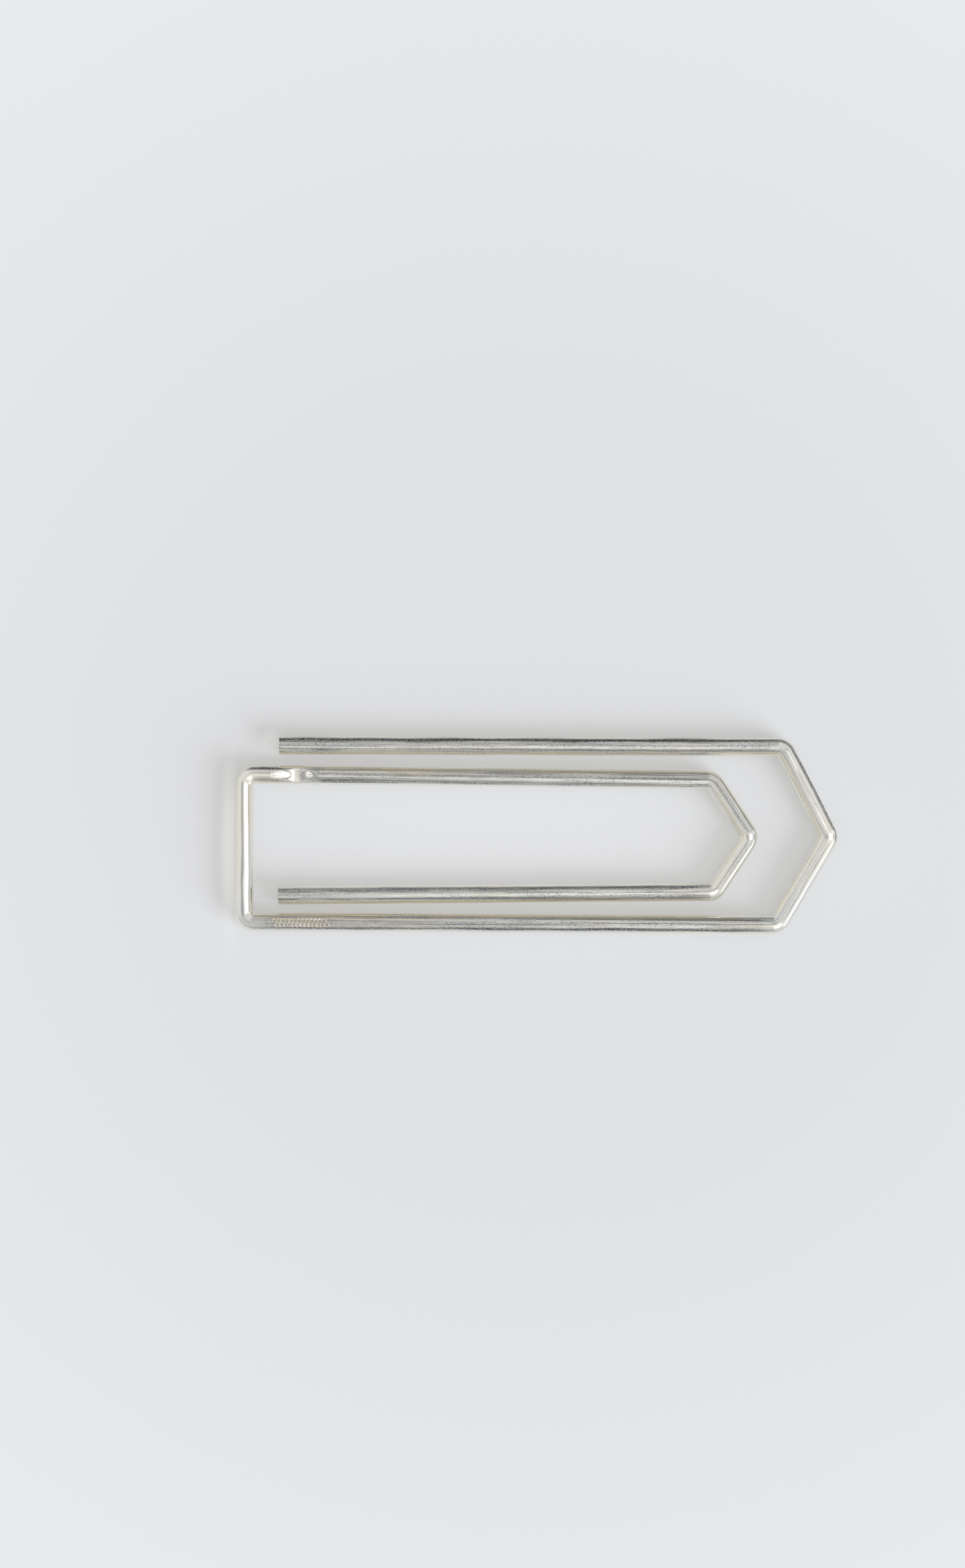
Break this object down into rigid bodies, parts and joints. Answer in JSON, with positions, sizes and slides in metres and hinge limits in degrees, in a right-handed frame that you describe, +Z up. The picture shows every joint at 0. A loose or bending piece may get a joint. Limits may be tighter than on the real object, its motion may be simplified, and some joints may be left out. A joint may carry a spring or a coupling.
{
  "type": "money clip",
  "caption": "Flat money clip bent from round silver wire like a paper clip, with an arrow-pointed outer loop, an arrow-pointed spring tongue and two free legs.",
  "frame": {"origin": "middle of the clip's outline, on the surface that the clip lies flat on", "axes": "+X towards the two arrow tips, along the clip's length, +Y towards the outer free leg, +Z up, away from the surface"},
  "size_m": [0.0634, 0.0208, 0.002],
  "materials": {
    "silver_wire": "polished drawn sterling silver wire, with fine lengthwise draw lines and light handling marks",
    "silver_solder": "filed and polished silver solder, smooth and slightly brighter than the drawn wire"
  },
  "bodies": {
    "outer_loop": {"outer_upper_shoulder": "silver_wire", "outer_upper_side": "silver_wire", "outer_tip": "silver_wire", "outer_lower_side": "silver_wire", "outer_lower_shoulder": "silver_wire", "outer_long_leg": "silver_wire", "end_bar_lower_corner": "silver_wire", "end_bar_lower_half": "silver_wire"},
    "tongue": {"end_bar_upper_half": "silver_wire", "end_bar_upper_corner": "silver_wire", "seam_stub": "silver_wire", "solder_seam": "silver_solder", "tongue_long_leg": "silver_wire", "tongue_upper_bend": "silver_wire", "tongue_upper_side": "silver_wire", "tongue_tip": "silver_wire", "tongue_lower_side": "silver_wire", "tongue_lower_bend": "silver_wire"},
    "outer_leg": {"outer_free_leg": "silver_wire"},
    "tongue_leg": {"tongue_free_leg": "silver_wire"}
  },
  "joints": [
    {"name": "tongue_flex", "type": "hinge", "parent": "outer_loop", "child": "tongue", "pos_m": [-0.03067, -0.00138, 0.001], "axis": [0, -1, 0], "range_deg": [-8, 8], "stiffness_Nm_per_rad": 1.1},
    {"name": "outer_leg_flex", "type": "hinge", "parent": "outer_loop", "child": "outer_leg", "pos_m": [0.0253, 0.00923, 0.001], "axis": [0, 1, 0], "range_deg": [-3, 3], "stiffness_Nm_per_rad": 1.6},
    {"name": "tongue_leg_flex", "type": "hinge", "parent": "tongue", "child": "tongue_leg", "pos_m": [0.01809, -0.00598, 0.001], "axis": [0, 1, 0], "range_deg": [-3, 3], "stiffness_Nm_per_rad": 2}
  ]
}
